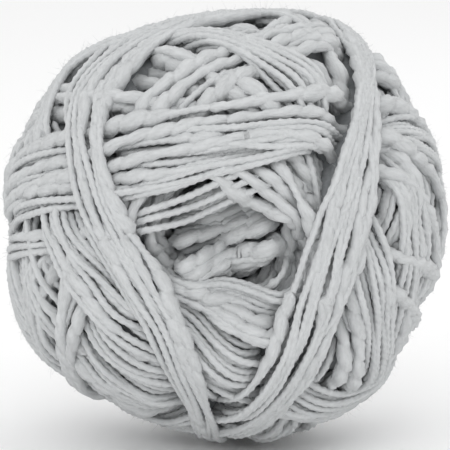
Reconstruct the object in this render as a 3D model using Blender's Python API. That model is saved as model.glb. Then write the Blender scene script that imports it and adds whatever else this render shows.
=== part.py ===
# Ball of thick-and-thin cotton yarn, wound for pulling from its centre and lying on its side.
# Its axis lies along Y and its open eye faces -Y. Turns of yarn are laid one after another on a
# height map of the ball, each pulled taut over what is below it, and the solid is that surface.
# Each rope here stands for two turns or so of the real yarn.
import math
from collections import namedtuple

import bmesh
import bpy
import numpy as np

for thing in list(bpy.data.objects):
    bpy.data.objects.remove(thing)

mm = 0.001

# Driving sizes, in millimetres
ballWidth = 100.0
ballLength = 84.0
ballHeight = 98.5
flatSpotWidth = 23.0
flatSpotTrim = 0.15
thinRope = 1.9
slubRope = 2.9
slubLengths = (18, 36)
slubGaps = (12, 34)
ballTriangles = 9000
wellTriangles = 1050

# The core that the first rope is laid on, as a share of the whole ball
coreSize = 0.47

# How a rope lies: the share of its radius that it keeps where it rests on another, how far it is
# drawn from following every bump to lying straight, and how it slides into hollows, in millimetres
ropeGive = 0.8
ropeTension = 0.85
ropeStep = 1.2
ropeEase = 2
slideTrials = (-1.8, 0, 1.8)
slideReach = 2.4
slideDrop = 0.4
slideEase = 6
wanderDegrees = (0.7, 0.5, 0, 0)

# How the winding is pressed round after each bundle, in shares of the whole ball and millimetres
pressSlack = 0.03
pressLimit = 0.98
pressBlur = 8
lastPressSize = 0.975
lastPressBlur = 7
lastPressRise = 1.05
eyeBridge = 0.93
leastPress = 0.5

# How soon a bed rises outside the eye, in degrees, and how much of it is left inside
bedRamp = 12
bedInEye = 0.5

# Directions from the middle of the ball are a bearing round the eye, from +X towards +Z, and a
# reach away from the eye's middle, both in degrees. Sizes are shares of the whole ball, and slub
# is how often a rope swells.
Edge = namedtuple("Edge", "bearing reach bow sway")
Bundle = namedtuple("Bundle", "size ropes slub first last")
Bed = namedtuple("Bed", "size eye")

winding = (
    Bundle(0.56, 3, 0.7, Edge(287, 13, 0, 0), Edge(285, 24, 0, 0)),  # floor of the eye, low
    Bundle(0.55, 3, 0.6, Edge(290, 8, 0, 0), Edge(108, 3, 0, 0)),  # floor, across its middle
    Bundle(0.57, 3, 0.6, Edge(108, 8, 0, 0), Edge(112, 18, 0, 0)),  # floor, high
    Bed(0.58, 34),
    Bundle(0.64, 3, 0.5, Edge(200, 26, 0, 0), Edge(200, 38, 0, 0)),  # wall, left
    Bundle(0.66, 3, 0.6, Edge(280, 20, 0, 0), Edge(262, 30, 0, 0)),  # wall, bottom
    Bundle(0.67, 3, 0.5, Edge(342, 21, 0, 0), Edge(348, 34, 0, 0)),  # wall, right
    Bundle(0.68, 3, 0.6, Edge(66, 18, 0, 0), Edge(80, 32, 0, 0)),  # wall, top
    Bed(0.70, 38),
    Bundle(0.75, 3, 0.5, Edge(240, 23, 0, 0), Edge(236, 34, 0, 0)),  # cheek, bottom
    Bundle(0.77, 3, 0.5, Edge(350, 24, 0, 0), Edge(356, 38, 0, 0)),  # cheek, right
    Bundle(0.78, 3, 0.5, Edge(196, 27, 0, 0), Edge(190, 38, 0, 0)),  # cheek, left
    Bundle(0.80, 2, 1.0, Edge(63, 21, 0, 0), Edge(60, 28, 0, 0)),  # two big slubs, top right
    Bundle(0.81, 3, 0.5, Edge(115, 19, 0, 0), Edge(125, 32, 0, 0)),  # cheek, top
    Bed(0.84, 42),
    Bundle(0.87, 3, 0.5, Edge(236, 26, 0, 0), Edge(226, 35, 0, 0)),  # lip, bottom
    Bundle(0.87, 3, 0.6, Edge(57, 29, 0, 0), Edge(50, 38, 0, 0)),  # lip, top
    Bundle(0.87, 3, 0.5, Edge(352, 27, 0, 0), Edge(0, 38, 0, 0)),  # lip, right
    Bundle(0.88, 3, 0.5, Edge(200, 30, 0, 0), Edge(190, 40, 0, 0)),  # lip, left
    Bed(0.93, 44),
    Bundle(0.94, 3, 0.3, Edge(232, 29, 0, 0), Edge(215, 38, 0, 0)),  # chin
    Bundle(0.94, 5, 0.3, Edge(15, 40, 0, 0), Edge(35, 60, 0, 0)),  # under the bands, four ways
    Bundle(0.94, 5, 0.3, Edge(152, 42, 0, 0), Edge(165, 64, 0, 0)),
    Bundle(0.94, 5, 0.3, Edge(280, 42, 0, 0), Edge(300, 62, 0, 0)),
    Bundle(0.94, 5, 0.3, Edge(75, 50, 0, 0), Edge(95, 75, 0, 0)),
    Bundle(0.945, 6, 0.3, Edge(200, 64, 0, 0), Edge(215, 90, 0, 0)),  # waist, three ways
    Bundle(0.945, 6, 0.3, Edge(320, 66, 0, 0), Edge(335, 92, 0, 0)),
    Bundle(0.945, 6, 0.3, Edge(70, 78, 0, 0), Edge(95, 100, 0, 0)),
    Bundle(0.95, 3, 0.2, Edge(162, 37, 1, 13), Edge(160, 48, 1, 12)),  # arcs down the left cheek
    Bundle(0.95, 4, 0.2, Edge(222, 46, 0, 0), Edge(222, 62, 0, 0)),  # lower left
    Bundle(0.95, 2, 0.3, Edge(211, 44, 8, -3), Edge(205, 52, 8, -3)),  # rim, lower left
    Bundle(0.96, 3, 0.4, Edge(20, 44, 3, -5), Edge(40, 52, 6, -8)),  # flank, right
    Bundle(0.96, 3, 0.8, Edge(342, 36, -8, 5), Edge(350, 52, -4, 2)),  # slub turns, right
    Bundle(0.96, 3, 0.3, Edge(1, 71, -8, -7), Edge(1, 58, -4, -4)),  # far right
    Bundle(0.97, 2, 0.6, Edge(31, 28, 0, 0), Edge(34, 36, 0, 0)),  # brow, upper right
    Bundle(0.97, 2, 0.8, Edge(139, 35, 2, -6), Edge(142, 44, 2, -6)),  # chevron, upper left
    Bundle(0.97, 3, 0.1, Edge(27, 37, 0, 6), Edge(38, 50, 2, 8)),  # crown, upper right
    Bundle(0.97, 3, 0.2, Edge(226, 31, 0, -3), Edge(222, 42, 0, -3)),  # fan, lower left
    Bundle(0.98, 2, 0.1, Edge(179, 39, -3, -20), Edge(178, 36, -1, -19)),  # left band, outer
    Bundle(0.98, 4, 0.15, Edge(104, 18, 0, 0), Edge(88, 28, 0, 0)),  # top band, fanned turns
    Bundle(0.98, 2, 0.3, Edge(91, 31, -3, 0), Edge(93, 37, -5, 0)),  # top band
    Bundle(0.99, 2, 0.95, Edge(80, 36, 3, -7), Edge(96, 44, -6, -2)),  # slub rows over the top
    Bundle(0.99, 3, 0.2, Edge(12, 27.5, 7, 11), Edge(342, 33, -3, 6)),  # right band
    Bundle(1.00, 3, 0.3, Edge(178, 34, 1, -18), Edge(178, 29.5, 5, -17.5)),  # left band, inner
    Bed(0.955, 42),
)

# The well behind the lip of each eye, in millimetres from the middle of the ball and from its axis.
# Ropes line it: they run round its wall, and side by side across its floor.
wellRadius = 18.5
wellTop = 35.5
wellFloor = 20.5
wellSquareness = 0.4  # 1 is an egg and 0 is a drum
wellRopePitch = 4.4
wellRopeRelief = 1.3
wellFloorTilt = math.radians(17)

# Waves round the ball's outline: how many, their height as a share of the radius, and the
# bearing of the first crest
OutlineWave = namedtuple("OutlineWave", "count height crest")
outlineWaves = (
    OutlineWave(2, 0.009, 14),
    OutlineWave(3, 0.019, 56),
    OutlineWave(4, 0.016, 39),
    OutlineWave(5, 0.015, 356),
    OutlineWave(7, 0.009, 12),
    OutlineWave(10, 0.010, 24),
)

yarnColour = (0.50, 0.51, 0.515, 1.0)
yarnRoughness = 0.9

halfSizes = np.array([ballWidth, ballLength, ballHeight]) / 2
meanRadius = float(halfSizes.mean())
flatSpotShare = 0.4  # how much of the underside's disc lies below the level it is pressed to
windingSeed = 11

# The height map: one square chart round each end of the axis, and each runs past the ball's waist
cellAngle = math.radians(1.0)
chartReach = math.radians(112)
chartHalf = int(chartReach / cellAngle) + 2
chartSize = 2 * chartHalf + 1
frontSide, backSide = 1, -1

# The spheres that take the shapes of the height map and of a well, and the softening of the
# height map, in cells
formSubdivisions = 7
formBlur = 0.6
wellSegments = 96
wellRings = 60


def direction(bearing, reach):
    bearing, reach = np.radians(bearing), np.radians(reach)
    across, up = np.sin(reach) * np.cos(bearing), np.sin(reach) * np.sin(bearing)
    return np.stack([across, -np.cos(reach), up], axis=-1)


def ballRadius(directions):
    return 1 / np.sqrt(((directions / halfSizes) ** 2).sum(axis=-1))


def unitRows(vectors):
    return vectors / np.linalg.norm(vectors, axis=-1, keepdims=True)


def smoothRing(values, width):
    waves = np.arange(len(values) // 2 + 1)
    fade = np.exp(-0.5 * (waves * width * 2 * math.pi / len(values)) ** 2)
    return np.fft.irfft(np.fft.rfft(values) * fade, len(values))


def chartDirections(side):
    steps = (np.arange(chartSize) - chartHalf) * cellAngle
    across, up = np.meshgrid(steps, steps, indexing="ij")
    reach = np.hypot(across, up)
    share = np.sinc(reach / math.pi)
    return np.stack([across * share, -side * np.cos(reach), up * share], axis=-1), reach


def blurRows(grid, sigma):
    reach = int(3 * sigma)
    weights = np.exp(-0.5 * (np.arange(-reach, reach + 1) / sigma) ** 2)
    weights /= weights.sum()
    padded = np.pad(grid, ((reach, reach), (0, 0)))
    return sum(weight * padded[i : i + len(grid)] for i, weight in enumerate(weights))


def blurGrid(grid, sigma):
    return blurRows(blurRows(grid, sigma).T, sigma).T


def easeIn(share):
    share = np.clip(share, 0, 1)
    return share * share * (3 - 2 * share)


class HeightMap:
    def __init__(self, size):
        self.cells, self.reach, self.height = {}, {}, {}
        for side in (frontSide, backSide):
            self.cells[side], self.reach[side] = chartDirections(side)
            self.height[side] = size * ballRadius(self.cells[side])

    def place(self, directions, side):
        reach = np.arccos(np.clip(-side * directions[:, 1], -1, 1))
        share = 1 / (np.sinc(reach / math.pi) * cellAngle)
        return directions[:, 0] * share + chartHalf, directions[:, 2] * share + chartHalf, reach

    def sample(self, grids, directions):
        # Each direction is read from the chart of its own end
        found = np.empty(len(directions))
        for side in (frontSide, backSide):
            own = (directions[:, 1] <= 0) == (side == frontSide)
            found[own] = self.sampleChart(grids[side], directions[own], side)
        return found

    def sampleChart(self, grid, directions, side):
        # Between the four nearest cells
        column, row, _ = self.place(directions, side)
        lastCell = chartSize - 1.001
        column, row = np.clip(column, 0, lastCell), np.clip(row, 0, lastCell)
        left, low = column.astype(int), row.astype(int)
        right, high = column - left, row - low
        lower = grid[left, low] * (1 - right) + grid[left + 1, low] * right
        upper = grid[left, low + 1] * (1 - right) + grid[left + 1, low + 1] * right
        return lower * (1 - high) + upper * high

    def footprint(self, directions, radii, distances, side, wanted):
        # The cells round each sample of a rope that the rope could touch
        column, row, reach = self.place(directions, side)
        inside = np.nonzero(wanted & (reach < chartReach))[0]
        if not len(inside):
            return None
        spread = int(np.max(radii[inside] / distances[inside]) / cellAngle) + 2
        offsets = np.arange(-spread, spread + 1)
        columns = np.rint(column[inside]).astype(int)[:, None] + offsets
        rows = np.rint(row[inside]).astype(int)[:, None] + offsets
        columns, rows = np.clip(columns, 0, chartSize - 1), np.clip(rows, 0, chartSize - 1)
        return inside, columns[:, :, None], rows[:, None, :]

    def support(self, directions, radii):
        # How far out a rope's middle rests on the surface, at each sample
        rest = np.zeros(len(directions))
        distances = self.sample(self.height, directions)
        for side in (frontSide, backSide):
            own = (directions[:, 1] <= 0) == (side == frontSide)
            touched = self.footprint(directions, radii, distances, side, own)
            if touched is None:
                continue
            inside, columns, rows = touched
            height = self.height[side][columns, rows]
            cells = self.cells[side][columns, rows]
            along = np.einsum("nijk,nk->nij", cells, directions[inside]) * height
            room = (radii[inside] ** 2)[:, None, None] - (height**2 - along**2)
            reached = np.where(room > 0, along + np.sqrt(np.maximum(room, 0)), 0)
            rest[inside] = reached.max(axis=(1, 2))
        return rest

    def lay(self, centres, radii):
        distances = np.linalg.norm(centres, axis=1)
        for side in (frontSide, backSide):
            laid = self.footprint(unitRows(centres), radii, distances, side, distances > 0)
            if laid is None:
                continue
            inside, columns, rows = laid
            along = np.einsum("nijk,nk->nij", self.cells[side][columns, rows], centres[inside])
            beside = (distances[inside] ** 2)[:, None, None] - along**2
            room = (radii[inside] ** 2)[:, None, None] - beside
            top = np.where(room > 0, along + np.sqrt(np.maximum(room, 0)), 0)
            np.maximum.at(self.height[side], (columns, rows), top)

    def fillBed(self, bed):
        # The turns that never show, as a smooth bed outside the eye
        for side in (frontSide, backSide):
            reach = np.degrees(self.reach[side])
            share = easeIn((np.minimum(reach, 180 - reach) - bed.eye) / bedRamp)
            level = bed.size * ballRadius(self.cells[side]) * (bedInEye + (1 - bedInEye) * share)
            self.height[side] = np.maximum(self.height[side], level)

    def press(self, size, blur, rise, waves=()):
        # The whole winding squeezed towards its size at this stage, as tension and handling do
        for side in (frontSide, backSide):
            valid = (self.reach[side] < chartReach).astype(float)
            sigma = blur / (meanRadius * cellAngle)
            shape = ballRadius(self.cells[side]) * outlineShare(self.cells[side], waves)
            target = size * shape
            bridged = np.maximum(self.height[side], eyeBridge * target)
            mean = blurGrid(bridged * valid, sigma) / np.maximum(blurGrid(valid, sigma), 0.01)
            mean = np.maximum(mean, leastPress * target)
            self.height[side] = self.height[side] * np.clip(target / mean, leastPress, rise)
        for side in (frontSide, backSide):
            beyond = self.reach[side] > math.pi / 2
            cells = self.cells[side][beyond]
            self.height[side][beyond] = self.sampleChart(self.height[-side], cells, -side)


def outlineShare(directions, waves):
    bearing = np.arctan2(directions[..., 2], directions[..., 0])
    waist = 1 - directions[..., 1] ** 2
    share = np.ones_like(bearing)
    for wave in waves:
        phase = wave.count * (bearing - math.radians(wave.crest))
        share += waist * wave.height * np.cos(phase)
    return share


def turnDirections(edge, count):
    # A great circle that passes the eye at its reach, bent by its bow and its sway
    pole = direction(edge.bearing + 180, 90 - edge.reach)
    near = direction(edge.bearing, edge.reach)
    along = np.cross(pole, near)
    angle = np.arange(count) * 2 * math.pi / count
    bent = edge.bow * (np.cos(2 * angle) - 1) + edge.sway * np.sin(2 * angle)
    lean = np.radians(90 + bent)
    ring = np.cos(angle)[:, None] * near + np.sin(angle)[:, None] * along
    return np.cos(lean)[:, None] * pole + np.sin(lean)[:, None] * ring, angle


def hullCorners(points):
    corners = []
    for x, y in points:
        while len(corners) > 1:
            (x0, y0), (x1, y1) = corners[-2:]
            if (x1 - x0) * (y - y0) - (y1 - y0) * (x - x0) > 0:
                break
            corners.pop()
        corners.append((x, y))
    return corners[:-1]


def taut(angle, rest):
    # The closed string pulled tight round these supports, as its distance at each angle
    points = sorted(zip(rest * np.cos(angle), rest * np.sin(angle)))
    corners = np.array(hullCorners(points) + hullCorners(points[::-1]))
    corners = corners[np.argsort(np.arctan2(corners[:, 1], corners[:, 0]))]
    cornerAngles = np.arctan2(corners[:, 1], corners[:, 0])
    wrapped = (angle + math.pi) % (2 * math.pi) - math.pi
    after = np.searchsorted(cornerAngles, wrapped) % len(corners)
    start, side = corners[after - 1], corners[after] - corners[after - 1]
    across = start[:, 0] * side[:, 1] - start[:, 1] * side[:, 0]
    facing = np.cos(wrapped) * side[:, 1] - np.sin(wrapped) * side[:, 0]
    return np.maximum(across / np.where(np.abs(facing) > 1e-9, facing, 1e9), rest)


def ropeRadii(count, slub, random):
    # Thin all the way, and swollen into slubs here and there
    radii = np.full(count, thinRope)
    start = random.uniform(-20, 10)
    while start < count * ropeStep:
        if random.random() < slub:
            length = random.uniform(*slubLengths)
            share = np.clip((np.arange(count) * ropeStep - start) / length, 0, 1)
            fullest = random.uniform(0.7, 1) * slubRope
            swell = (fullest - thinRope) * np.sin(math.pi * share) ** 0.8
            radii = np.maximum(radii, thinRope + swell)
            start += 0.85 * length
        else:
            start += random.uniform(*slubGaps)
    return radii


def layRope(surface, edge, size, slub, random):
    count = int(2 * math.pi * meanRadius * size / ropeStep)
    directions, angle = turnDirections(edge, count)
    radii = ropeRadii(count, slub, random)
    restRadii = radii * ropeGive
    tangents = unitRows(np.roll(directions, -1, axis=0) - np.roll(directions, 1, axis=0))
    sideways = np.cross(directions, tangents) / (meanRadius * size)
    # It slides a little sideways, into the hollows between the ropes below
    rests = []
    for slide in slideTrials:
        rests.append(surface.support(unitRows(directions + sideways * slide), restRadii))
    slides = np.array(slideTrials)[:, None]
    rise = np.array(rests) - np.min(rests, axis=0)
    ease = np.exp(-rise / slideDrop - (slides / slideReach) ** 2)
    chosen = smoothRing((ease * slides).sum(axis=0) / ease.sum(axis=0), slideEase / ropeStep)
    directions = unitRows(directions + sideways * chosen[:, None])
    rest = np.maximum(surface.support(directions, restRadii), size * ballRadius(directions))
    rest = smoothRing(rest, ropeEase / ropeStep)
    drawn = rest + ropeTension * (taut(angle, rest) - rest)
    distance = smoothRing(drawn, ropeEase / ropeStep)
    surface.lay(directions * distance[:, None], radii)


def windBall():
    random = np.random.default_rng(windingSeed)
    surface = HeightMap(coreSize)
    for layer in winding:
        if isinstance(layer, Bed):
            surface.fillBed(layer)
            continue
        first, last = np.array(layer.first), np.array(layer.last)
        last[0] += 360 * round((first[0] - last[0]) / 360)
        for i in range(layer.ropes):
            edge = first + (last - first) * i / max(layer.ropes - 1, 1)
            wander = random.normal(0, wanderDegrees)
            layRope(surface, Edge(*(edge + wander)), layer.size, layer.slub, random)
        surface.press(min(layer.size + pressSlack, pressLimit), pressBlur, rise=1)
    for _ in range(2):
        surface.press(lastPressSize, lastPressBlur, lastPressRise, outlineWaves)
    return surface


def addFlatSpot(points):
    # The ball's own weight presses a small round spot of its underside level
    offCentre = np.hypot(points[:, 0], points[:, 1])
    under = (points[:, 2] < 0) & (offCentre < flatSpotWidth / 2)
    floor = np.quantile(points[under, 2], flatSpotShare)
    points[under, 2] = floor
    points[:, 2] = np.maximum(points[:, 2], floor)


def ballMesh():
    surface = windBall()
    form = bmesh.new()
    bmesh.ops.create_icosphere(form, subdivisions=formSubdivisions, radius=1)
    directions = unitRows(np.array([vertex.co for vertex in form.verts]))
    soft = {side: blurGrid(grid, formBlur) for side, grid in surface.height.items()}
    points = directions * surface.sample(soft, directions)[:, None]
    addFlatSpot(points)
    low, high = points.min(axis=0), points.max(axis=0)
    points = (points - (low + high) / 2) * 2 * halfSizes / (high - low)
    points[:, 2] += ballHeight / 2
    points[points[:, 2] < flatSpotTrim, 2] = -flatSpotTrim
    for vertex, point in zip(form.verts, points * mm):
        vertex.co = point
    mesh = bpy.data.meshes.new("yarn_ball")
    form.to_mesh(mesh)
    form.free()
    return mesh


def yarnMaterial():
    material = bpy.data.materials.new("cotton_yarn")
    material.use_nodes = True
    shader = material.node_tree.nodes["Principled BSDF"]
    shader.inputs["Base Color"].default_value = yarnColour
    shader.inputs["Roughness"].default_value = yarnRoughness
    shader.inputs["Metallic"].default_value = 0.0
    return material


def surfaceCutter():
    # A block below the surface that the ball rests on: it trims the flat spot exactly level
    form = bmesh.new()
    bmesh.ops.create_cube(form, size=ballWidth * mm)
    mesh = bpy.data.meshes.new("surface_cutter")
    form.to_mesh(mesh)
    form.free()
    cutter = bpy.data.objects.new("surface_cutter", mesh)
    cutter.location.z = -ballWidth / 2 * mm
    cutter.hide_render = True
    bpy.context.scene.collection.objects.link(cutter)
    return cutter


def wellPoint(place, side):
    # From a place on a sphere of radius 1 to the well's wall or floor
    along = math.copysign(abs(place.z) ** wellSquareness, place.z)
    out = math.hypot(place.x, place.y) ** wellSquareness
    height = (wellTop + wellFloor) / 2 + along * (wellTop - wellFloor) / 2
    radius = wellRadius * out - wellRopeRelief * out * math.cos(math.pi * height / wellRopePitch) ** 2
    bearing = math.atan2(place.y, place.x)
    across = radius * math.sin(bearing - wellFloorTilt)
    if along < 0:
        height -= wellRopeRelief * along * math.cos(math.pi * across / wellRopePitch) ** 2
    return radius * math.cos(bearing), -side * height, radius * math.sin(bearing)


def wellCutter(side):
    form = bmesh.new()
    bmesh.ops.create_uvsphere(form, u_segments=wellSegments, v_segments=wellRings, radius=1)
    for vertex in form.verts:
        x, y, z = wellPoint(vertex.co, side)
        vertex.co = (x * mm, y * mm, (z + ballHeight / 2) * mm)
    if side == backSide:
        bmesh.ops.reverse_faces(form, faces=form.faces)
    mesh = bpy.data.meshes.new("well_cutter")
    form.to_mesh(mesh)
    form.free()
    cutter = bpy.data.objects.new("well_cutter", mesh)
    cutter.hide_render = True
    bpy.context.scene.collection.objects.link(cutter)
    makeCoarser(cutter, wellTriangles)
    return cutter


def makeCoarser(thing, triangles):
    thing.data.calc_loop_triangles()
    fewer = thing.modifiers.new("fewer_triangles", "DECIMATE")
    fewer.ratio = triangles / len(thing.data.loop_triangles)


def cutAway(ball, name, cutter):
    cut = ball.modifiers.new(name, "BOOLEAN")
    cut.operation = "DIFFERENCE"
    cut.solver = "EXACT"
    cut.object = cutter


def addBall():
    mesh = ballMesh()
    mesh.materials.append(yarnMaterial())
    ball = bpy.data.objects.new("yarn_ball", mesh)
    bpy.context.scene.collection.objects.link(ball)
    makeCoarser(ball, ballTriangles)
    cutAway(ball, "front_well", wellCutter(frontSide))
    cutAway(ball, "back_well", wellCutter(backSide))
    cutAway(ball, "level_spot", surfaceCutter())


addBall()
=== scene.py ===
import math
from collections import namedtuple

import bmesh
import bpy
import numpy as np
from mathutils import Matrix, Vector
from mathutils.bvhtree import BVHTree


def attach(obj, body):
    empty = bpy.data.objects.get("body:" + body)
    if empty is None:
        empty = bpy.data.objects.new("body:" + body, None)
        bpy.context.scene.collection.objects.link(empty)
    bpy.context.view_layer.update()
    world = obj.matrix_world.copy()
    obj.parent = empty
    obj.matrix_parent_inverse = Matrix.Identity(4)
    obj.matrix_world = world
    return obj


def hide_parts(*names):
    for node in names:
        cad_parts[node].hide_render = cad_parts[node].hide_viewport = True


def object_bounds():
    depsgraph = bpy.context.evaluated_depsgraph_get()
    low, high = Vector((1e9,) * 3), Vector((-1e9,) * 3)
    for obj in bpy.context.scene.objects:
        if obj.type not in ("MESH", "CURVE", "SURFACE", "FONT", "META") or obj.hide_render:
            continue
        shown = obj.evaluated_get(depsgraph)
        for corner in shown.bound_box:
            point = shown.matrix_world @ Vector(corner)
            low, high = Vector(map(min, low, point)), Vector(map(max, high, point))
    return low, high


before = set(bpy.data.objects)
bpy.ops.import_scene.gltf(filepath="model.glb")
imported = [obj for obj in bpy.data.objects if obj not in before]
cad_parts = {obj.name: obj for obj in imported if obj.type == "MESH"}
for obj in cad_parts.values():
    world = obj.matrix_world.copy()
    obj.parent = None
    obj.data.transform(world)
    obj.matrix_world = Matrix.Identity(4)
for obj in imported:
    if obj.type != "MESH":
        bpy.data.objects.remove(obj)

# A ball of thick-and-thin cotton yarn. Its turns are laid one after another on a height map of
# the ball, pulled taut and pressed, until the winding has the size and shape of the CAD solid.
mm = 0.001
boxLow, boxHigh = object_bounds()
ballCentre = (boxLow + boxHigh) / 2
halfSizes = np.array(boxHigh - boxLow) / 2 / mm
meanRadius = float(halfSizes.mean())

cameraSettings = {
    "elevation": 8,  # degrees above the level of the ball's middle
    "distance": 620 * mm,
    "frameWidth": 101.3 * mm,  # what the picture takes in at the ball's middle
    "sensor": 36,
}


def addCamera(settings):
    data = bpy.data.cameras.new("camera")
    data.sensor_width = settings["sensor"]
    data.lens = settings["sensor"] * settings["distance"] / settings["frameWidth"]
    camera = bpy.data.objects.new("camera", data)
    up = math.radians(settings["elevation"])
    away = Vector((0, -math.cos(up), math.sin(up)))
    camera.location = ballCentre + away * settings["distance"]
    camera.rotation_euler = away.to_track_quat("Z", "Y").to_euler()
    bpy.context.scene.collection.objects.link(camera)
    bpy.context.scene.camera = camera
    print("camera set")


addCamera(cameraSettings)

# Directions from the middle of the ball are a bearing round the eye, from +X towards +Z, and a
# reach away from the eye's middle, in degrees. A turn is a great circle past the eye, bent by its
# bow and its sway. Sizes are shares of the whole ball. Lengths here are in millimetres.
Edge = namedtuple("Edge", "bearing reach bow sway")
Bundle = namedtuple("Bundle", "piece size turns slub first last")
Bed = namedtuple("Bed", "size eye")

yarnSettings = {
    "thin": 0.92,  # radius of the two fine plies together
    "fat": (1.4, 2.3),  # radius at the middle of a slub
    "slubLength": (15, 35),
    "slubGap": (11, 35),
    "thinPitch": 4.0,  # length of one turn of the plies
    "fatPitch": 5.7,
    "softens": 0.7,  # how much thicker than thin it is once it has become one soft ply
}

windingSettings = {
    "core": 0.42,  # the size that the winding starts from
    "seed": 11,
    "step": 0.8,  # between two points of a turn
    "give": 0.82,  # share of its radius at which a soft strand rests on another
    "tension": 0.3,  # how far it is drawn from the surface towards a taut string
    "ease": 2.4,  # over what length its bends are smoothed
    "slides": (-1.5, 0, 1.5),  # the places beside its path that it tries
    "slideSize": 0.945,  # turns that are laid on a smaller ball than this don't slide
    "slideReach": 2.2,
    "slideDrop": 0.35,  # how much lower a place has to be to draw it there
    "slideEase": 6,
    "wander": (0.6, 0.4, 0, 0),  # chance differences from turn to turn, as an Edge has them
    "pressBlur": 8,  # the squeeze evens out what is broader than this
    "pressSlack": 0.03,
    "pressLimit": 0.985,
    "lastPresses": 2,
    "lastSqueeze": (0.8, 1.2),
    "standOff": 0.6,  # how far a strand may stand out beyond the solid's broad shape
    "pullEase": 3,  # points of a turn over which a pull is smoothed
    "coreDepth": 2.0,  # how far below that shape the bed stays
    "eyeBridge": 0.93,  # the level that the squeeze takes the open eye to have
    "eyeReach": 20,  # degrees; what lies deeper in the eye isn't pressed
    "eyeEdge": 14,
    "bedEdge": 12,
}

# The floor of the eye: turns side by side over the small ball that was wound first
floorWinding = (
    Bundle("eyeFloor", 0.57, 8, 0.6, Edge(287, 50, 0, 0), Edge(287, 30, 0, 0)),
    Bundle("eyeFloor", 0.57, 8, 0.6, Edge(107, 50, 0, 0), Edge(108, 28, 0, 0)),
    Bundle("eyeFloor", 0.54, 7, 0.7, Edge(283, 28, 0, 0), Edge(287, 10, 0, 0)),
    Bundle("eyeFloor", 0.54, 7, 0.7, Edge(110, 26, 0, 0), Edge(106, 4, 0, 0)),
    Bundle("eyeFloor", 0.54, 4, 0.8, Edge(286, 14, 0, 0), Edge(290, 2, 0, 0)),
)

# The wall of the eye: turns round it at each level of the winding, clear of its axis
wallSettings = {
    "sizes": (0.58, 0.64, 0.70, 0.76, 0.82, 0.87),
    "bearings": 7,
    "turns": 2,
    "slub": 0.5,
    "advance": 23,
    "well": 19.5,  # millimetres from the axis to the wall
    "spread": 9,  # degrees of reach that the turns of a group take up
}

# The outer turns, from the first laid to the last
outerWinding = (
    Bundle("lipTurns", 0.925, 8, 0.35, Edge(262, 19, 0, 0), Edge(244, 28, 0, 0)),
    Bundle("waistTurns", 0.95, 12, 0.1, Edge(200, 60, 0, 0), Edge(215, 90, 0, 0)),
    Bundle("waistTurns", 0.95, 12, 0.1, Edge(320, 62, 0, 0), Edge(335, 92, 0, 0)),
    Bundle("waistTurns", 0.95, 12, 0.1, Edge(70, 72, 0, 0), Edge(95, 98, 0, 0)),
    Bundle("waistTurns", 0.95, 12, 0.1, Edge(20, 60, 0, 0), Edge(40, 86, 0, 0)),
    Bundle("waistTurns", 0.95, 12, 0.1, Edge(140, 60, 0, 0), Edge(160, 88, 0, 0)),
    Bundle("waistTurns", 0.95, 14, 0.1, Edge(258, 46, 0, 0), Edge(285, 80, 0, 0)),
    Bundle("lipTurns", 0.95, 10, 0.2, Edge(246, 28, 0, 0), Edge(226, 40, 0, 0)),
    Bundle("cheekTurns", 0.955, 9, 0.1, Edge(162, 37, 1, 13), Edge(160, 50, 1, 12)),
    Bundle("cheekTurns", 0.955, 13, 0.1, Edge(222, 44, 0, 0), Edge(222, 64, 0, 0)),
    Bundle("cheekTurns", 0.955, 6, 0.2, Edge(211, 44, 8, -3), Edge(205, 52, 8, -3)),
    Bundle("flankTurns", 0.96, 9, 0.2, Edge(20, 44, 3, -5), Edge(40, 54, 6, -8)),
    Bundle("flankTurns", 0.96, 10, 0.35, Edge(338, 40, -6, 3), Edge(346, 56, -3, 1)),
    Bundle("flankTurns", 0.96, 9, 0.2, Edge(1, 71, -8, -7), Edge(1, 58, -4, -4)),
    Bundle("topBand", 0.95, 3, 0.1, Edge(109, 14.5, -4, -1), Edge(111, 19.5, -6, -3)),
    Bundle("eyeTurns", 0.955, 4, 1.0, Edge(63, 18, -6, 1), Edge(41, 30.5, 8, 0)),
    Bundle("eyeTurns", 0.955, 4, 0.8, Edge(37, 32.5, 8, 0), Edge(9, 39, 10, 6)),
    Bundle("crownTurns", 0.965, 4, 0.5, Edge(31, 31, 0, 0), Edge(34, 39, 0, 0)),
    Bundle("crownTurns", 0.97, 4, 0.9, Edge(139, 35, 2, -6), Edge(142, 46, 2, -6)),
    Bundle("crownTurns", 0.97, 10, 0.05, Edge(27, 37, 0, 6), Edge(38, 52, 2, 8)),
    Bundle("leftBand", 0.97, 9, 0.1, Edge(226, 32, 0, -3), Edge(222, 44, 0, -3)),
    Bundle("leftBand", 0.98, 5, 0.1, Edge(187, 42, -2, -14), Edge(181, 36, 0, -16)),
    Bundle("topBand", 0.98, 9, 0.05, Edge(105, 24, -5, -1), Edge(97, 31, -5, 0)),
    Bundle("topBand", 0.985, 4, 0.1, Edge(93, 32, -4, 0), Edge(93, 36, -5, 0)),
    Bundle("topBand", 0.99, 3, 1.0, Edge(80, 36, 3, -7), Edge(96, 44, -6, -2)),
    Bundle("rightBand", 0.985, 5, 0.3, Edge(336, 43, -2, -3), Edge(334, 40, -2, -4)),
    Bundle("rightBand", 0.99, 11, 0.06, Edge(334, 39.5, -2, -5), Edge(326, 31.5, -1, -9)),
    Bundle("leftBand", 1.00, 8, 0.35, Edge(180, 40, -1, -15), Edge(175, 31, 1, -16)),
)

# The turns below those, laid round and round on a smooth bed as a winder lays them
underSettings = {
    "bed": Bed(0.90, 36),
    "sizes": (0.90, 0.92, 0.94),
    "pieces": ("deepTurns", "middleTurns", "underTurns"),
    "groups": 12,
    "turns": 7,
    "slub": 0.15,
    "advance": 137.5,
    "reach": (32, 50),
    "spread": 12,
}

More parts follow.
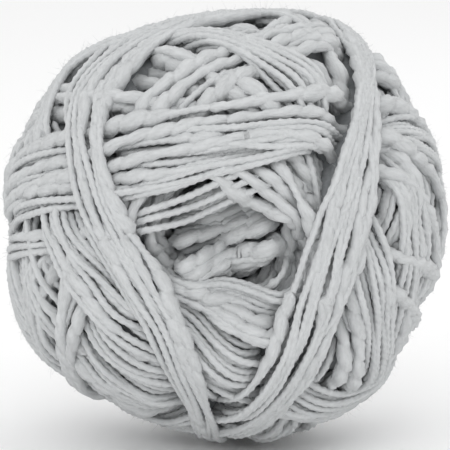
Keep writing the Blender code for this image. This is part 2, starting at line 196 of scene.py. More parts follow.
# The height map: one square chart round each end of the axis, past the ball's waist
cellAngle = math.radians(0.6)
chartReach = math.radians(112)
chartHalf = int(chartReach / cellAngle) + 2
chartSize = 2 * chartHalf + 1
frontSide, backSide = 1, -1


def direction(bearing, reach):
    bearing, reach = np.radians(bearing), np.radians(reach)
    across, up = np.sin(reach) * np.cos(bearing), np.sin(reach) * np.sin(bearing)
    return np.stack([across, -np.cos(reach), up], axis=-1)


def ballRadius(directions):
    return 1 / np.sqrt(((directions / halfSizes) ** 2).sum(axis=-1))


def unitRows(vectors):
    return vectors / np.linalg.norm(vectors, axis=-1, keepdims=True)


def smoothRing(values, width):
    # width is in points; values may have several columns
    waves = np.arange(len(values) // 2 + 1)
    fade = np.exp(-0.5 * (waves * width * 2 * math.pi / len(values)) ** 2)
    fade = fade.reshape((-1,) + (1,) * (values.ndim - 1))
    return np.fft.irfft(np.fft.rfft(values, axis=0) * fade, len(values), axis=0)


def chartDirections(side):
    steps = (np.arange(chartSize) - chartHalf) * cellAngle
    across, up = np.meshgrid(steps, steps, indexing="ij")
    reach = np.hypot(across, up)
    share = np.sinc(reach / math.pi)
    return np.stack([across * share, -side * np.cos(reach), up * share], axis=-1), reach


def blurGrid(grid, sigma):
    # A Gaussian blur, by way of the grid's waves
    across, up = np.fft.fftfreq(len(grid))[:, None], np.fft.rfftfreq(grid.shape[1])
    fade = np.exp(-2 * (math.pi * sigma) ** 2 * (across**2 + up**2))
    return np.fft.irfft2(np.fft.rfft2(grid) * fade, grid.shape)


def lowestNear(grid, cells):
    for axis in (0, 1):
        grid = np.min([np.roll(grid, shift, axis) for shift in range(-cells, cells + 1)], axis=0)
    return grid


def easeIn(share):
    share = np.clip(share, 0, 1)
    return share * share * (3 - 2 * share)


class HeightMap:
    def __init__(self, size):
        self.cells, self.reach, self.height, self.valid, self.share = {}, {}, {}, {}, {}
        self.sigma = windingSettings["pressBlur"] / (meanRadius * cellAngle)
        for side in (frontSide, backSide):
            self.cells[side], self.reach[side] = chartDirections(side)
            self.height[side] = size * ballRadius(self.cells[side])
            self.valid[side] = (self.reach[side] < chartReach).astype(float)
            self.share[side] = np.maximum(blurGrid(self.valid[side], self.sigma), 0.01)

    def place(self, directions, side):
        reach = np.arccos(np.clip(-side * directions[:, 1], -1, 1))
        share = 1 / (np.sinc(reach / math.pi) * cellAngle)
        return directions[:, 0] * share + chartHalf, directions[:, 2] * share + chartHalf, reach

    def sample(self, grids, directions):
        # Each direction is read from the chart of its own end
        found = np.empty(len(directions))
        for side in (frontSide, backSide):
            own = (directions[:, 1] <= 0) == (side == frontSide)
            found[own] = self.sampleChart(grids[side], directions[own], side)
        return found

    def sampleChart(self, grid, directions, side):
        column, row, _ = self.place(directions, side)
        lastCell = chartSize - 1.001
        column, row = np.clip(column, 0, lastCell), np.clip(row, 0, lastCell)
        left, low = column.astype(int), row.astype(int)
        right, high = column - left, row - low
        lower = grid[left, low] * (1 - right) + grid[left + 1, low] * right
        upper = grid[left, low + 1] * (1 - right) + grid[left + 1, low + 1] * right
        return lower * (1 - high) + upper * high

    def footprint(self, directions, radii, distances, side, wanted):
        # The cells round each point of a turn that the yarn could touch
        column, row, reach = self.place(directions, side)
        inside = np.nonzero(wanted & (reach < chartReach))[0]
        if not len(inside):
            return None
        spread = int(np.max(radii[inside] / distances[inside]) / cellAngle) + 2
        offsets = np.arange(-spread, spread + 1)
        columns = np.rint(column[inside]).astype(int)[:, None] + offsets
        rows = np.rint(row[inside]).astype(int)[:, None] + offsets
        columns, rows = np.clip(columns, 0, chartSize - 1), np.clip(rows, 0, chartSize - 1)
        return inside, columns[:, :, None], rows[:, None, :]

    def support(self, directions, radii):
        # How far out the middle of the yarn rests on the surface, at each point
        rest = np.zeros(len(directions))
        distances = self.sample(self.height, directions)
        for side in (frontSide, backSide):
            own = (directions[:, 1] <= 0) == (side == frontSide)
            touched = self.footprint(directions, radii, distances, side, own)
            if touched is None:
                continue
            inside, columns, rows = touched
            height = self.height[side][columns, rows]
            cells = self.cells[side][columns, rows]
            along = np.einsum("nijk,nk->nij", cells, directions[inside]) * height
            room = (radii[inside] ** 2)[:, None, None] - (height**2 - along**2)
            reached = np.where(room > 0, along + np.sqrt(np.maximum(room, 0)), 0)
            rest[inside] = reached.max(axis=(1, 2))
        return rest

    def lay(self, centres, radii):
        distances = np.linalg.norm(centres, axis=1)
        for side in (frontSide, backSide):
            laid = self.footprint(unitRows(centres), radii, distances, side, distances > 0)
            if laid is None:
                continue
            inside, columns, rows = laid
            along = np.einsum("nijk,nk->nij", self.cells[side][columns, rows], centres[inside])
            beside = (distances[inside] ** 2)[:, None, None] - along**2
            room = (radii[inside] ** 2)[:, None, None] - beside
            top = np.where(room > 0, along + np.sqrt(np.maximum(room, 0)), 0)
            np.maximum.at(self.height[side], (columns, rows), top)

    def fillBed(self, bed):
        # The turns that never show, as a smooth bed outside the eye
        for side in (frontSide, backSide):
            reach = np.degrees(self.reach[side])
            share = easeIn((np.minimum(reach, 180 - reach) - bed.eye) / windingSettings["bedEdge"])
            level = bed.size * ballRadius(self.cells[side]) * (0.5 + 0.5 * share)
            self.height[side] = np.maximum(self.height[side], level)

    def mean(self, grid, side):
        return np.maximum(blurGrid(grid * self.valid[side], self.sigma) / self.share[side], 1)

    def scaleBy(self, scale, turns):
        for side in (frontSide, backSide):
            self.height[side] = self.height[side] * scale[side]
        for side in (frontSide, backSide):
            beyond = self.reach[side] > math.pi / 2
            cells = self.cells[side][beyond]
            self.height[side][beyond] = self.sampleChart(self.height[-side], cells, -side)
        shares = self.sample(scale, unitRows(np.concatenate([turn.centres for turn in turns])))
        start = 0
        for turn in turns:
            turn.centres[:] *= shares[start : start + len(turn.centres), None]
            start += len(turn.centres)

    def press(self, size, turns):
        # The whole winding squeezed towards its size at this stage, as tension and handling do
        s = windingSettings
        scale = {}
        for side in (frontSide, backSide):
            target = size * ballRadius(self.cells[side])
            bridged = np.maximum(self.height[side], s["eyeBridge"] * target)
            squeeze = np.clip(target / self.mean(bridged, side), 0.5, 1)
            reach = np.degrees(self.reach[side])
            outside = easeIn((np.minimum(reach, 180 - reach) - s["eyeReach"]) / s["eyeEdge"])
            scale[side] = 1 + (squeeze - 1) * outside
        self.scaleBy(scale, turns)

    def pressInto(self, shape, turns):
        # The last squeeze, into the broad shape of the CAD solid
        scale = {}
        for side in (frontSide, backSide):
            mean = self.mean(self.height[side], side)
            squeeze = self.mean(shape[side], side) / mean
            scale[side] = np.clip(squeeze, *windingSettings["lastSqueeze"])
        self.scaleBy(scale, turns)


def holdIn(surface, shape, turns):
    # What still stands out too far is pulled in, as a loose loop would be
    broad = {side: surface.mean(shape[side], side) for side in (frontSide, backSide)}
    for turn in turns:
        distances = np.linalg.norm(turn.centres, axis=1)
        limit = surface.sample(broad, turn.centres / distances[:, None]) + windingSettings["standOff"]
        share = np.minimum(limit / (distances + turn.radii), 1)
        turn.centres[:] *= smoothRing(share, windingSettings["pullEase"])[:, None]
    for side in (frontSide, backSide):
        level = broad[side] - windingSettings["coreDepth"]
        surface.height[side] = np.minimum(surface.height[side], level)


def turnDirections(edge, count):
    pole = direction(edge.bearing + 180, 90 - edge.reach)
    near = direction(edge.bearing, edge.reach)
    along = np.cross(pole, near)
    angle = np.arange(count) * 2 * math.pi / count
    lean = np.radians(90 + edge.bow * (np.cos(2 * angle) - 1) + edge.sway * np.sin(2 * angle))
    ring = np.cos(angle)[:, None] * near + np.sin(angle)[:, None] * along
    return np.cos(lean)[:, None] * pole + np.sin(lean)[:, None] * ring, angle


def hullCorners(points):
    corners = []
    for x, y in points:
        while len(corners) > 1:
            (x0, y0), (x1, y1) = corners[-2:]
            if (x1 - x0) * (y - y0) - (y1 - y0) * (x - x0) > 0:
                break
            corners.pop()
        corners.append((x, y))
    return corners[:-1]


def taut(angle, rest):
    # The closed string pulled tight round these supports, as its distance at each angle
    points = sorted(zip(rest * np.cos(angle), rest * np.sin(angle)))
    corners = np.array(hullCorners(points) + hullCorners(points[::-1]))
    corners = corners[np.argsort(np.arctan2(corners[:, 1], corners[:, 0]))]
    cornerAngles = np.arctan2(corners[:, 1], corners[:, 0])
    wrapped = (angle + math.pi) % (2 * math.pi) - math.pi
    after = np.searchsorted(cornerAngles, wrapped) % len(corners)
    start, side = corners[after - 1], corners[after] - corners[after - 1]
    across = start[:, 0] * side[:, 1] - start[:, 1] * side[:, 0]
    facing = np.cos(wrapped) * side[:, 1] - np.sin(wrapped) * side[:, 0]
    return np.maximum(across / np.where(np.abs(facing) > 1e-9, facing, 1e9), rest)


Turn = namedtuple("Turn", "piece centres radii")


def yarnRadii(count, step, slub, random):
    # Thin all the way, and swollen into slubs here and there
    thin = yarnSettings["thin"]
    radii = np.full(count, thin)
    start = random.uniform(-20, 10)
    while start < count * step:
        if random.random() < slub:
            length = random.uniform(*yarnSettings["slubLength"])
            share = np.clip((np.arange(count) * step - start) / length, 0, 1)
            fullest = random.uniform(*yarnSettings["fat"])
            radii = np.maximum(radii, thin + (fullest - thin) * np.sin(math.pi * share) ** 0.8)
            start += 0.85 * length
        else:
            start += random.uniform(*yarnSettings["slubGap"])
    return radii


def layTurn(surface, piece, edge, size, slub, random):
    s = windingSettings
    count = int(2 * math.pi * meanRadius * size / s["step"])
    directions, angle = turnDirections(edge, count)
    radii = yarnRadii(count, s["step"], slub, random)
    restRadii = radii * s["give"]
    tangents = unitRows(np.roll(directions, -1, axis=0) - np.roll(directions, 1, axis=0))
    sideways = np.cross(directions, tangents) / (meanRadius * size)
    # It slides a little sideways, into the hollows between the turns below
    if size > s["slideSize"]:
        rests = []
        for slide in s["slides"]:
            rests.append(surface.support(unitRows(directions + sideways * slide), restRadii))
        slides = np.array(s["slides"])[:, None]
        rise = np.array(rests) - np.min(rests, axis=0)
        ease = np.exp(-rise / s["slideDrop"] - (slides / s["slideReach"]) ** 2)
        chosen = (ease * slides).sum(axis=0) / ease.sum(axis=0)
        chosen = smoothRing(chosen, s["slideEase"] / s["step"])
        directions = unitRows(directions + sideways * chosen[:, None])
    rest = np.maximum(surface.support(directions, restRadii), size * ballRadius(directions))
    rest = smoothRing(rest, s["ease"] / s["step"])
    drawn = rest + s["tension"] * (taut(angle, rest) - rest)
    centres = directions * smoothRing(drawn, s["ease"] / s["step"])[:, None]
    surface.lay(centres, radii)
    return Turn(piece, centres, radii)


def layBundle(surface, turns, bundle, random):
    first, last = np.array(bundle.first), np.array(bundle.last)
    last[0] += 360 * round((first[0] - last[0]) / 360)
    for i in range(bundle.turns):
        edge = first + (last - first) * i / max(bundle.turns - 1, 1)
        edge = Edge(*(edge + random.normal(0, windingSettings["wander"])))
        turns.append(layTurn(surface, bundle.piece, edge, bundle.size, bundle.slub, random))


def solidShape(surface):
    # How far the CAD solid reaches from the ball's middle, in every cell
    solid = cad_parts["yarn_ball"]
    tree = BVHTree.FromObject(solid, bpy.context.evaluated_depsgraph_get())
    shape = {}
    for side in (frontSide, backSide):
        found = surface.height[side].copy()
        rays = surface.cells[side].reshape(-1, 3)
        distances = found.reshape(-1)
        for i, ray in enumerate(rays.tolist()):
            away = Vector(ray)
            hit = tree.ray_cast(ballCentre + away * 2 * meanRadius * mm, -away)
            if hit[3] is not None:
                distances[i] = 2 * meanRadius - hit[3] / mm
        shape[side] = found
    return shape


def wallBundles(settings):
    bearing = 0
    for size in settings["sizes"]:
        reach = math.degrees(math.asin(settings["well"] / (meanRadius * size)))
        yield Bed(size - 0.03, reach + 4)
        for _ in range(settings["bearings"]):
            first = Edge(bearing, reach, 0, 0)
            last = Edge(bearing + 8, reach + settings["spread"], 0, 0)
            yield Bundle("eyeWall", size, settings["turns"], settings["slub"], first, last)
            bearing += 360 / settings["bearings"]
        bearing += settings["advance"]


def underBundles(settings):
    yield settings["bed"]
    bearing = 10
    for piece, size in zip(settings["pieces"], settings["sizes"]):
        for group in range(settings["groups"]):
            share = group * 0.618 % 1
            reach = settings["reach"][0] + share * (settings["reach"][1] - settings["reach"][0])
            first = Edge(bearing, reach, 0, 0)
            last = Edge(bearing + 10, reach + settings["spread"], 0, 0)
            yield Bundle(piece, size, settings["turns"], settings["slub"], first, last)
            bearing = (bearing + settings["advance"]) % 360


def layAll(surface, turns, layers, random):
    layers = list(layers)
    for layer, following in zip(layers, layers[1:] + [None]):
        if isinstance(layer, Bed):
            surface.fillBed(layer)
            continue
        layBundle(surface, turns, layer, random)
        if following is None or following.size != layer.size:
            size = min(layer.size + windingSettings["pressSlack"], windingSettings["pressLimit"])
            surface.press(size, turns)
    print("wound:", len(turns), "turns")


def fitToBox(turns):
    # The winding brought to the CAD box, and what that does to a point
    low = np.min([(turn.centres - turn.radii[:, None]).min(axis=0) for turn in turns], axis=0)
    high = np.max([(turn.centres + turn.radii[:, None]).max(axis=0) for turn in turns], axis=0)
    print("the winding is", (high - low).round(1), "mm before it is fitted")
    share = 2 * halfSizes / (high - low)
    middle = (low + high) / 2
    for turn in turns:
        turn.centres[:] = (turn.centres - middle) * share
    return lambda points: (points - middle) * share


def settledSurface(turns):
    # The height map of the turns where they have come to lie, and of the eye's floor by itself
    surface = HeightMap(windingSettings["core"])
    for turn in turns:
        if turn.piece == "eyeFloor":
            surface.lay(turn.centres, turn.radii)
    floor = {side: grid.copy() for side, grid in surface.height.items()}
    for turn in turns:
        if turn.piece != "eyeFloor":
            surface.lay(turn.centres, turn.radii)
    return surface, floor


def windBall():
    random = np.random.default_rng(windingSettings["seed"])
    surface = HeightMap(windingSettings["core"])
    turns = []
    layAll(surface, turns, floorWinding, random)
    layAll(surface, turns, wallBundles(wallSettings), random)
    layAll(surface, turns, underBundles(underSettings), random)
    layAll(surface, turns, outerWinding, random)
    shape = solidShape(surface)
    for _ in range(windingSettings["lastPresses"]):
        surface.pressInto(shape, turns)
    holdIn(surface, shape, turns)
    return surface, turns, fitToBox(turns)


# Tubes of yarn: the plies of each turn as ridges and furrows round it
tubeSettings = {
    "seed": 5,
    "sides": 6,
    "ringStep": 0.7,  # where the yarn is thin
    "fatStep": 1.2,
    "buried": 0.1,  # how far below its lowest surroundings a ring may lie and still be made
    "lookRound": (2, 5),  # how many cells round a thin and a fat ring those surroundings are
    "behindWall": 3,
    "wellDepth": 12,  # as far from the ball's middle, all of the eye's wall is made
    "margin": 3,  # rings added at both ends of a stretch that shows
    "shortest": 6,  # rings
    "smooth": 1.2,
    "taper": 0.7,  # the ring before the last one, where a stretch ends under others
    "ball": 3000,  # millimetres of yarn among which each turn has its place
    "even": (0.86, 0.14),  # outline of the two fine plies: its mean, and how far they stand out
    "soft": (1.02, 0.05),  # outline of the soft ply
    "furrow": (0.62, 0.25),  # half width in radians and depth of the binding ply's furrow
    "lumps": ((1.7, 1), (2.9, 2), (4.7, 1), (7.9, 3), (12.3, 0)),  # length, and waves round
    "lumpHeight": 0.009,
}


def yarnFatness(radii):
    return easeIn((radii - yarnSettings["thin"]) / yarnSettings["softens"])


def plyShape(angle, fatness):
    # The outline round the yarn: two even plies where it is thin, and where it is fat one soft
    # ply with the fine one sunk into it
    s = tubeSettings
    even = s["even"][0] + s["even"][1] * np.cos(2 * angle)
    away = (angle + math.pi) % (2 * math.pi) - math.pi
    width, depth = s["furrow"]
    furrow = np.exp(-((away / width) ** 2))
    bound = s["soft"][0] + s["soft"][1] * np.cos(angle - math.pi) - depth * furrow
    return even * (1 - fatness) + bound * fatness


def unevenness(along, angle, fatness, random):
    # How hand and spindle leave it: soft lumps of several lengths, stronger where it is fat
    lumps = np.zeros(np.broadcast_shapes(along.shape, angle.shape))
    for length, waves in tubeSettings["lumps"]:
        lumps += np.sin(2 * math.pi * along / length + waves * angle + random.uniform(0, 2 * math.pi))
    return 1 + tubeSettings["lumpHeight"] * lumps * (0.6 + 0.9 * fatness)


def ringsOf(turn, surface, lowSurfaces):
    # The turn at even steps, with what of it shows
    s = tubeSettings
    centres = smoothRing(turn.centres, s["smooth"])
    lengths = np.linalg.norm(np.roll(centres, -1, axis=0) - centres, axis=1)
    steps = s["ringStep"] + (s["fatStep"] - s["ringStep"]) * yarnFatness(turn.radii)
    rings = np.concatenate([[0], np.cumsum(lengths / steps)])
    wanted = np.arange(int(rings[-1])) * rings[-1] / int(rings[-1])
    closed = np.vstack([centres, centres[:1]])
    points = np.stack([np.interp(wanted, rings, closed[:, i]) for i in range(3)], axis=1)
    radii = np.interp(wanted, rings, np.append(turn.radii, turn.radii[0]))
    distances = np.linalg.norm(points, axis=1)
    outward = points / distances[:, None]
    narrow, wide = (surface.sample(grids, outward) for grids in lowSurfaces)
    fatness = yarnFatness(radii)
    shown = distances + radii > narrow + (wide - narrow) * fatness - s["buried"]
    inWell = np.hypot(points[:, 0], points[:, 2]) < wallSettings["well"] + s["behindWall"]
    shown = shown | (inWell & (np.abs(points[:, 1]) > s["wellDepth"]))
    for _ in range(s["margin"]):
        shown = shown | np.roll(shown, 1) | np.roll(shown, -1)
    return points, radii, shown


def runsOf(shown):
    # First ring and length of each stretch that shows
    if shown.all():
        return [(0, len(shown) + 1)]
    starts = np.nonzero(shown & ~np.roll(shown, 1))[0]
    return [(start, int(np.argmin(np.append(np.roll(shown, -start), False)))) for start in starts]


def tubePoints(points, radii, start, count, random):
    sides = tubeSettings["sides"]
    order = (start + np.arange(count)) % len(points)
    whole = count > len(points)
    steps = np.linalg.norm(np.roll(points, -1, axis=0) - points, axis=1)
    places = np.concatenate([[0], np.cumsum(steps)])
    fatness = yarnFatness(radii)
    pitch = yarnSettings["thinPitch"] * (1 - fatness) + yarnSettings["fatPitch"] * fatness
    twist = np.concatenate([[0], np.cumsum(2 * math.pi * steps / pitch)])
    # On a closed turn the plies meet their own beginning
    twist *= 2 * math.pi * round(twist[-1] / (2 * math.pi)) / twist[-1]
    tangents = unitRows(np.roll(points, -1, axis=0) - np.roll(points, 1, axis=0))
    outward = unitRows(points - (points * tangents).sum(axis=1, keepdims=True) * tangents)
    across = np.cross(tangents, outward)
    laps = (start + np.arange(count)) // len(points)
    turned = twist[order] + laps * twist[-1]
    around = np.arange(sides + 1) * 2 * math.pi / sides
    angle = around[:, None] - turned[None, :]
    reach = plyShape(around[:, None], fatness[order]) * radii[order]
    whereAlong = places[order] + laps * places[-1]
    reach = reach * unevenness(whereAlong, around[:, None], fatness[order], random)
    if not whole:
        ends = np.ones(count)
        ends[[0, -1]] = 0
        ends[[1, -2]] = tubeSettings["taper"]
        reach = reach * ends[None, :]
    sideways = np.cos(angle)[..., None] * outward[order] + np.sin(angle)[..., None] * across[order]
    placed = points[order] + reach[..., None] * sideways
    along = np.broadcast_to(whereAlong + random.uniform(0, tubeSettings["ball"]), reach.shape)
    yarnPlace = np.stack([along, reach * np.cos(angle), reach * np.sin(angle)], axis=-1)
    tone = np.broadcast_to(fatness[order], reach.shape)
    return placed, yarnPlace, tone


def addTubes(name, tubes, material):
    # All the tubes start as one flat grid, a row for each side. The faces from one tube to the next
    # are taken out, and each tube is rolled up round its yarn.
    places, yarnPlaces, fatness = (np.concatenate(parts, axis=1) for parts in zip(*tubes))
    rows, rings = places.shape[:2]
    ends = np.cumsum([tube[0].shape[1] for tube in tubes])[:-1] - 1
    form = bmesh.new()
    bmesh.ops.create_grid(form, x_segments=rings - 1, y_segments=rows - 1, size=1)
    form.faces.ensure_lookup_table()
    between = []
    for row in range(rows - 1):
        between += [form.faces[row * (rings - 1) + end] for end in ends.tolist()]
    bmesh.ops.delete(form, geom=between, context="FACES")
    mesh = bpy.data.meshes.new(name)
    form.to_mesh(mesh)
    form.free()
    points = places.reshape(-1, 3) * mm + np.array(ballCentre)
    points[:, 2] = np.maximum(points[:, 2], 0)
    mesh.vertices.foreach_set("co", points.astype(np.float32).ravel())
    yarnPlace = mesh.attributes.new("yarnPlace", "FLOAT_VECTOR", "POINT")
    yarnPlace.data.foreach_set("vector", yarnPlaces.astype(np.float32).ravel())
    tone = mesh.attributes.new("fatness", "FLOAT", "POINT")
    tone.data.foreach_set("value", fatness.astype(np.float32).ravel())
    form = bmesh.new()
    form.from_mesh(mesh)
    bmesh.ops.remove_doubles(form, verts=form.verts, dist=1e-6)
    form.to_mesh(mesh)
    form.free()
    mesh.shade_smooth()
    mesh.materials.append(material)
    return addPiece(name, mesh)


# Loose fibre ends that stand off the yarn and soften its edges. Real ones are 0.02 mm thick, and
# these are drawn three to four times as thick so that they show.
fuzzSettings = {
    "count": 5000,
    "length": (0.4, 1.6),
    "radius": 0.035,
    "rings": 4,
    "sides": 3,
    "exposed": 0.35,  # how far below the ball's surface a hair's root may lie
    "lean": 1.2,  # radians round the yarn, to both sides of its top
    "root": 0.9,  # share of the yarn's radius at which it starts
    "rise": (0.3, 1.1),
    "drift": 0.7,
    "bend": 0.5,
    "thins": 0.7,
}


def fuzzRoots(points, radii, surface):
    # Where the yarn lies open to the outside, and how it runs there
    distances = np.linalg.norm(points, axis=1)
    outward = points / distances[:, None]
    tangents = unitRows(np.roll(points, -1, axis=0) - np.roll(points, 1, axis=0))
    level = surface.sample(surface.height, outward) - fuzzSettings["exposed"]
    bare = distances + radii > level
    return np.hstack([points, outward, tangents, radii[:, None]])[bare]


def hairTubes(roots, random):
    s = fuzzSettings
    roots = roots[random.integers(0, len(roots), s["count"])]
    points, outward, tangents, radii = roots[:, :3], roots[:, 3:6], roots[:, 6:9], roots[:, 9:]
    across = np.cross(tangents, outward)
    lean = random.uniform(-s["lean"], s["lean"], (s["count"], 1))
    normals = np.cos(lean) * outward + np.sin(lean) * across
    start = points + normals * radii * s["root"]
    drift = random.normal(0, s["drift"], (s["count"], 3))
    bend = random.normal(0, s["bend"], (s["count"], 3))
    runs = tangents * random.uniform(-1, 1, (s["count"], 1))
    rise = random.uniform(*s["rise"], (s["count"], 1))
    headings = unitRows(normals * rise + runs + 0.3 * drift)
    lengths = random.uniform(*s["length"], (s["count"], 1))
    share = np.linspace(0, 1, s["rings"])
    around = np.arange(s["sides"] + 1) * 2 * math.pi / s["sides"]
    side = unitRows(np.cross(headings, drift))
    other = np.cross(headings, side)
    thickness = s["radius"] * (1 - s["thins"] * share)
    rings = []
    for angle in around:
        offset = math.cos(angle) * side + math.sin(angle) * other
        line = []
        for u, thick in zip(share, thickness):
            line.append(start + lengths * (u * headings + u * u * bend) + thick * offset)
        rings.append(np.stack(line, axis=1))
    hairs = np.stack(rings, axis=1)
    return [(hair, hair, np.zeros(hair.shape[:2])) for hair in hairs]


def addPiece(name, mesh):
    piece = bpy.data.objects.new(name, mesh)
    bpy.context.scene.collection.objects.link(piece)
    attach(piece, "root")
    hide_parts("yarn_ball")
    print(name, len(mesh.polygons), "faces")
    return piece


def linear(code):
    # An sRGB hex colour as the linear one that a shader takes
    parts = [int(code[i : i + 2], 16) / 255 for i in (1, 3, 5)]
    return [p / 12.92 if p <= 0.04045 else ((p + 0.055) / 1.055) ** 2.4 for p in parts] + [1]


def addNode(tree, kind, settings=None, links=None):
    node = tree.nodes.new(kind)
    for name, value in (settings or {}).items():
        if isinstance(name, int) or name in node.inputs.keys():
            node.inputs[name].default_value = value
        else:
            setattr(node, name, value)
    for name, source in (links or {}).items():
        tree.links.new(source, node.inputs[name])
    return node


# Cotton, spun thick and thin and plied, undyed grey: matt, with a soft bloom at its edges and
# the streaks of fibres that run along it
cottonSettings = {
    "light": "#d4d6d7",
    "dark": "#a3a5a6",
    "roughness": 0.92,
    "specular": 0.2,
    "sheen": 0.15,
    "sheenRoughness": 0.5,
    "fibreWidth": 0.45,  # real fibres are 0.02 mm; drawn coarse enough to show
    "stretch": 0.22,  # along the yarn
    "cloudWidth": 6.25,  # slow changes of tone from one part of the yarn to the next
    "bump": 0.8,
    "bumpHeight": 0.35,
}


def cottonMaterial(settings):
    material = bpy.data.materials.new("spun_cotton")
    material.use_nodes = True
    tree = material.node_tree
    shader = tree.nodes["Principled BSDF"]
    shader.inputs["Roughness"].default_value = settings["roughness"]
    shader.inputs["Sheen Weight"].default_value = settings["sheen"]
    shader.inputs["Sheen Roughness"].default_value = settings["sheenRoughness"]
    shader.inputs["Specular IOR Level"].default_value = settings["specular"]
    light, dark = linear(settings["light"]), linear(settings["dark"])
    place = addNode(tree, "ShaderNodeAttribute", {"attribute_name": "yarnPlace"})
    stretched = addNode(
        tree, "ShaderNodeVectorMath",
        {"operation": "MULTIPLY", 1: (settings["stretch"], 1, 1)},
        {0: place.outputs["Vector"]},
    )
    fibres = addNode(
        tree, "ShaderNodeTexNoise",
        {"Scale": 1 / settings["fibreWidth"], "Detail": 3.0, "Roughness": 0.6},
        {"Vector": stretched.outputs["Vector"]},
    )
    clouds = addNode(
        tree, "ShaderNodeTexNoise",
        {"Scale": 1 / settings["cloudWidth"], "Detail": 2.0},
        {"Vector": place.outputs["Vector"]},
    )
    mixed = addNode(
        tree, "ShaderNodeMix",
        {"data_type": "RGBA", 6: dark, 7: light},
        {0: fibres.outputs["Fac"]},
    )
    toned = addNode(
        tree, "ShaderNodeMix",
        {"data_type": "RGBA", 7: light},
        {0: clouds.outputs["Fac"], 6: mixed.outputs[2]},
    )
    bump = addNode(
        tree, "ShaderNodeBump",
        {"Strength": settings["bump"], "Distance": settings["bumpHeight"] * mm},
        {"Height": fibres.outputs["Fac"]},
    )
    tree.links.new(toned.outputs[2], shader.inputs["Base Color"])
    tree.links.new(bump.outputs["Normal"], shader.inputs["Normal"])
    return material


# Painted shade: both greys of the core are darker than the cotton's, standing in for the shade between
# the turns
coreSettings = {
    "light": "#9a9d9f",
    "dark": "#6f7274",
    "roughness": 0.95,
    "grain": 900,  # to the metre, so about 1.1 mm
    "sink": 1.2,  # how far below the lowest strands near it the core lies
    "lookRound": 3,  # how many cells round a place those strands are looked for
    "floorLook": 2,  # the same for the small ball at the bottom of the eye
    "blur": 1.0,
    "lift": 0.3,  # above the floor
    "behindWall": 2,
    "cutterLength": 200,
    "subdivisions": 6,
}


def coreShadeMaterial(settings):
    # The same cotton far down between the turns, where little light comes; its darker greys are painted
    # shade
    material = bpy.data.materials.new("inner_cotton_painted_shade")
    material.use_nodes = True
    tree = material.node_tree
    shader = tree.nodes["Principled BSDF"]
    shader.inputs["Roughness"].default_value = settings["roughness"]
    where = addNode(tree, "ShaderNodeTexCoord")
    grain = addNode(
        tree, "ShaderNodeTexNoise",
        {"Scale": settings["grain"], "Detail": 2.0},
        {"Vector": where.outputs["Object"]},
    )
    mixed = addNode(
        tree, "ShaderNodeMix",
        {"data_type": "RGBA", 6: linear(settings["dark"]), 7: linear(settings["light"])},
        {0: grain.outputs["Fac"]},
    )
    tree.links.new(mixed.outputs[2], shader.inputs["Base Color"])
    return material


def coreForm(name, surface, heights, fitted, settings):
    form = bmesh.new()
    bmesh.ops.create_icosphere(form, subdivisions=settings["subdivisions"], radius=1)
    directions = unitRows(np.array([vertex.co for vertex in form.verts]))
    points = fitted(directions * (surface.sample(heights, directions) - settings["sink"])[:, None])
    points = points * mm + np.array(ballCentre)
    points[:, 2] = np.maximum(points[:, 2], settings["lift"] * mm)
    for vertex, point in zip(form.verts, points):
        vertex.co = point
    for face in form.faces:
        face.smooth = True
    mesh = bpy.data.meshes.new(name)
    form.to_mesh(mesh)
    form.free()
    mesh.materials.append(coreShadeMaterial(settings))
    return mesh


def wellCutter(settings):
    # A round bar along the ball's axis, as wide as the well behind the eye's wall of turns
    form = bmesh.new()
    radius = (wallSettings["well"] + settings["behindWall"]) * mm
    length = settings["cutterLength"] * mm
    bmesh.ops.create_cone(form, cap_ends=True, segments=48, radius1=radius, radius2=radius, depth=length)
    bmesh.ops.rotate(form, verts=form.verts, matrix=Matrix.Rotation(math.pi / 2, 3, "X"))
    bmesh.ops.translate(form, verts=form.verts, vec=ballCentre)
    mesh = bpy.data.meshes.new("wellCutter")
    form.to_mesh(mesh)
    form.free()
    cutter = bpy.data.objects.new("wellCutter", mesh)
    bpy.context.scene.collection.objects.link(cutter)
    return cutter


def addCores(wound, fitted, floor, settings):
    # What fills the ball behind the gaps between its turns: a shell with the well through it, and
    # the small ball at the bottom of the well
    low, lowFloor = {}, {}
    for side in (frontSide, backSide):
        nearest = lowestNear(wound.height[side], settings["lookRound"])
        low[side] = blurGrid(nearest, settings["blur"])
        lowFloor[side] = blurGrid(lowestNear(floor[side], settings["floorLook"]), settings["blur"])
    form = coreForm("yarnCore", wound, low, fitted, settings)
    shell = bpy.data.objects.new("shell", form)
    bpy.context.scene.collection.objects.link(shell)
    cutter = wellCutter(settings)
    well = shell.modifiers.new("well", "BOOLEAN")
    well.operation = "DIFFERENCE"
    well.solver = "EXACT"
    well.object = cutter
    graph = bpy.context.evaluated_depsgraph_get()
    bored = bpy.data.meshes.new_from_object(shell.evaluated_get(graph))
    bored.name = "yarnCore"
    bpy.data.objects.remove(shell)
    bpy.data.objects.remove(cutter)
    addPiece("yarnCore", bored)
    addPiece("eyeCore", coreForm("eyeCore", wound, lowFloor, np.copy, settings))


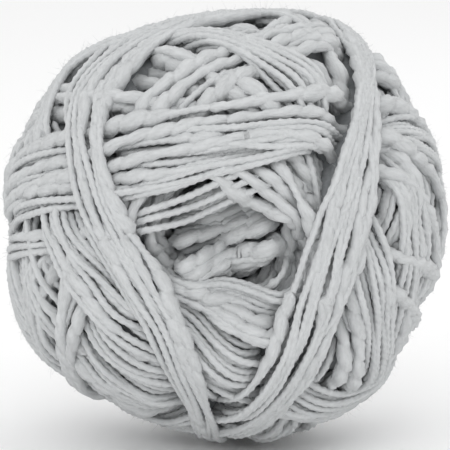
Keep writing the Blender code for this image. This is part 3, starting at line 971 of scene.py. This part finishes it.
def addYarn():
    wound, turns, fitted = windBall()
    surface, floor = settledSurface(turns)
    addCores(wound, fitted, floor, coreSettings)
    lowSurfaces = []
    for cells in tubeSettings["lookRound"]:
        lowSurfaces.append({side: lowestNear(grid, cells) for side, grid in surface.height.items()})
    random = np.random.default_rng(tubeSettings["seed"])
    cotton = cottonMaterial(cottonSettings)
    tubes, roots = {}, []
    rings = 0
    for turn in turns:
        points, radii, shown = ringsOf(turn, surface, lowSurfaces)
        roots.append(fuzzRoots(points, radii, surface))
        for start, count in runsOf(shown):
            if count < tubeSettings["shortest"]:
                continue
            rings += count
            made = tubePoints(points, radii, start, count, random)
            tubes.setdefault(turn.piece, []).append(made)
    print("rings of yarn that show:", rings)
    for piece, made in tubes.items():
        addTubes(piece, made, cotton)
    addTubes("yarnFuzz", hairTubes(np.concatenate(roots), random), cotton)


addYarn()

stageSettings = {"colour": "#fafafa", "roughness": 0.9, "halfWidth": 2}


def addStage(settings):
    # A pale sheet that the ball lies on
    form = bmesh.new()
    bmesh.ops.create_grid(form, x_segments=1, y_segments=1, size=settings["halfWidth"])
    mesh = bpy.data.meshes.new("floor")
    form.to_mesh(mesh)
    form.free()
    material = bpy.data.materials.new("matt_paper")
    material.use_nodes = True
    shader = material.node_tree.nodes["Principled BSDF"]
    shader.inputs["Base Color"].default_value = linear(settings["colour"])
    shader.inputs["Roughness"].default_value = settings["roughness"]
    mesh.materials.append(material)
    floor = bpy.data.objects.new("floor", mesh)
    bpy.context.scene.collection.objects.link(floor)
    print("floor laid")


addStage(stageSettings)

lightSettings = {
    "key": {"energy": 2.6, "size": 0.7, "place": (-0.15, -0.9, 0.75)},
    "fill": {"energy": 1.2, "size": 1.0, "place": (0.7, 0.6, 0.8)},
    "world": ("#ffffff", 0.95),
}


def addLights(settings):
    for name in ("key", "fill"):
        data = bpy.data.lights.new(name, "AREA")
        data.energy = settings[name]["energy"]
        data.size = settings[name]["size"]
        light = bpy.data.objects.new(name, data)
        light.location = settings[name]["place"]
        toBall = ballCentre - light.location
        light.rotation_euler = toBall.to_track_quat("-Z", "Y").to_euler()
        bpy.context.scene.collection.objects.link(light)
    world = bpy.data.worlds.new("studio")
    world.use_nodes = True
    background = world.node_tree.nodes["Background"]
    background.inputs["Color"].default_value = linear(settings["world"][0])
    background.inputs["Strength"].default_value = settings["world"][1]
    bpy.context.scene.world = world
    bpy.context.scene.view_settings.view_transform = "Standard"
    print("lights set")


addLights(lightSettings)
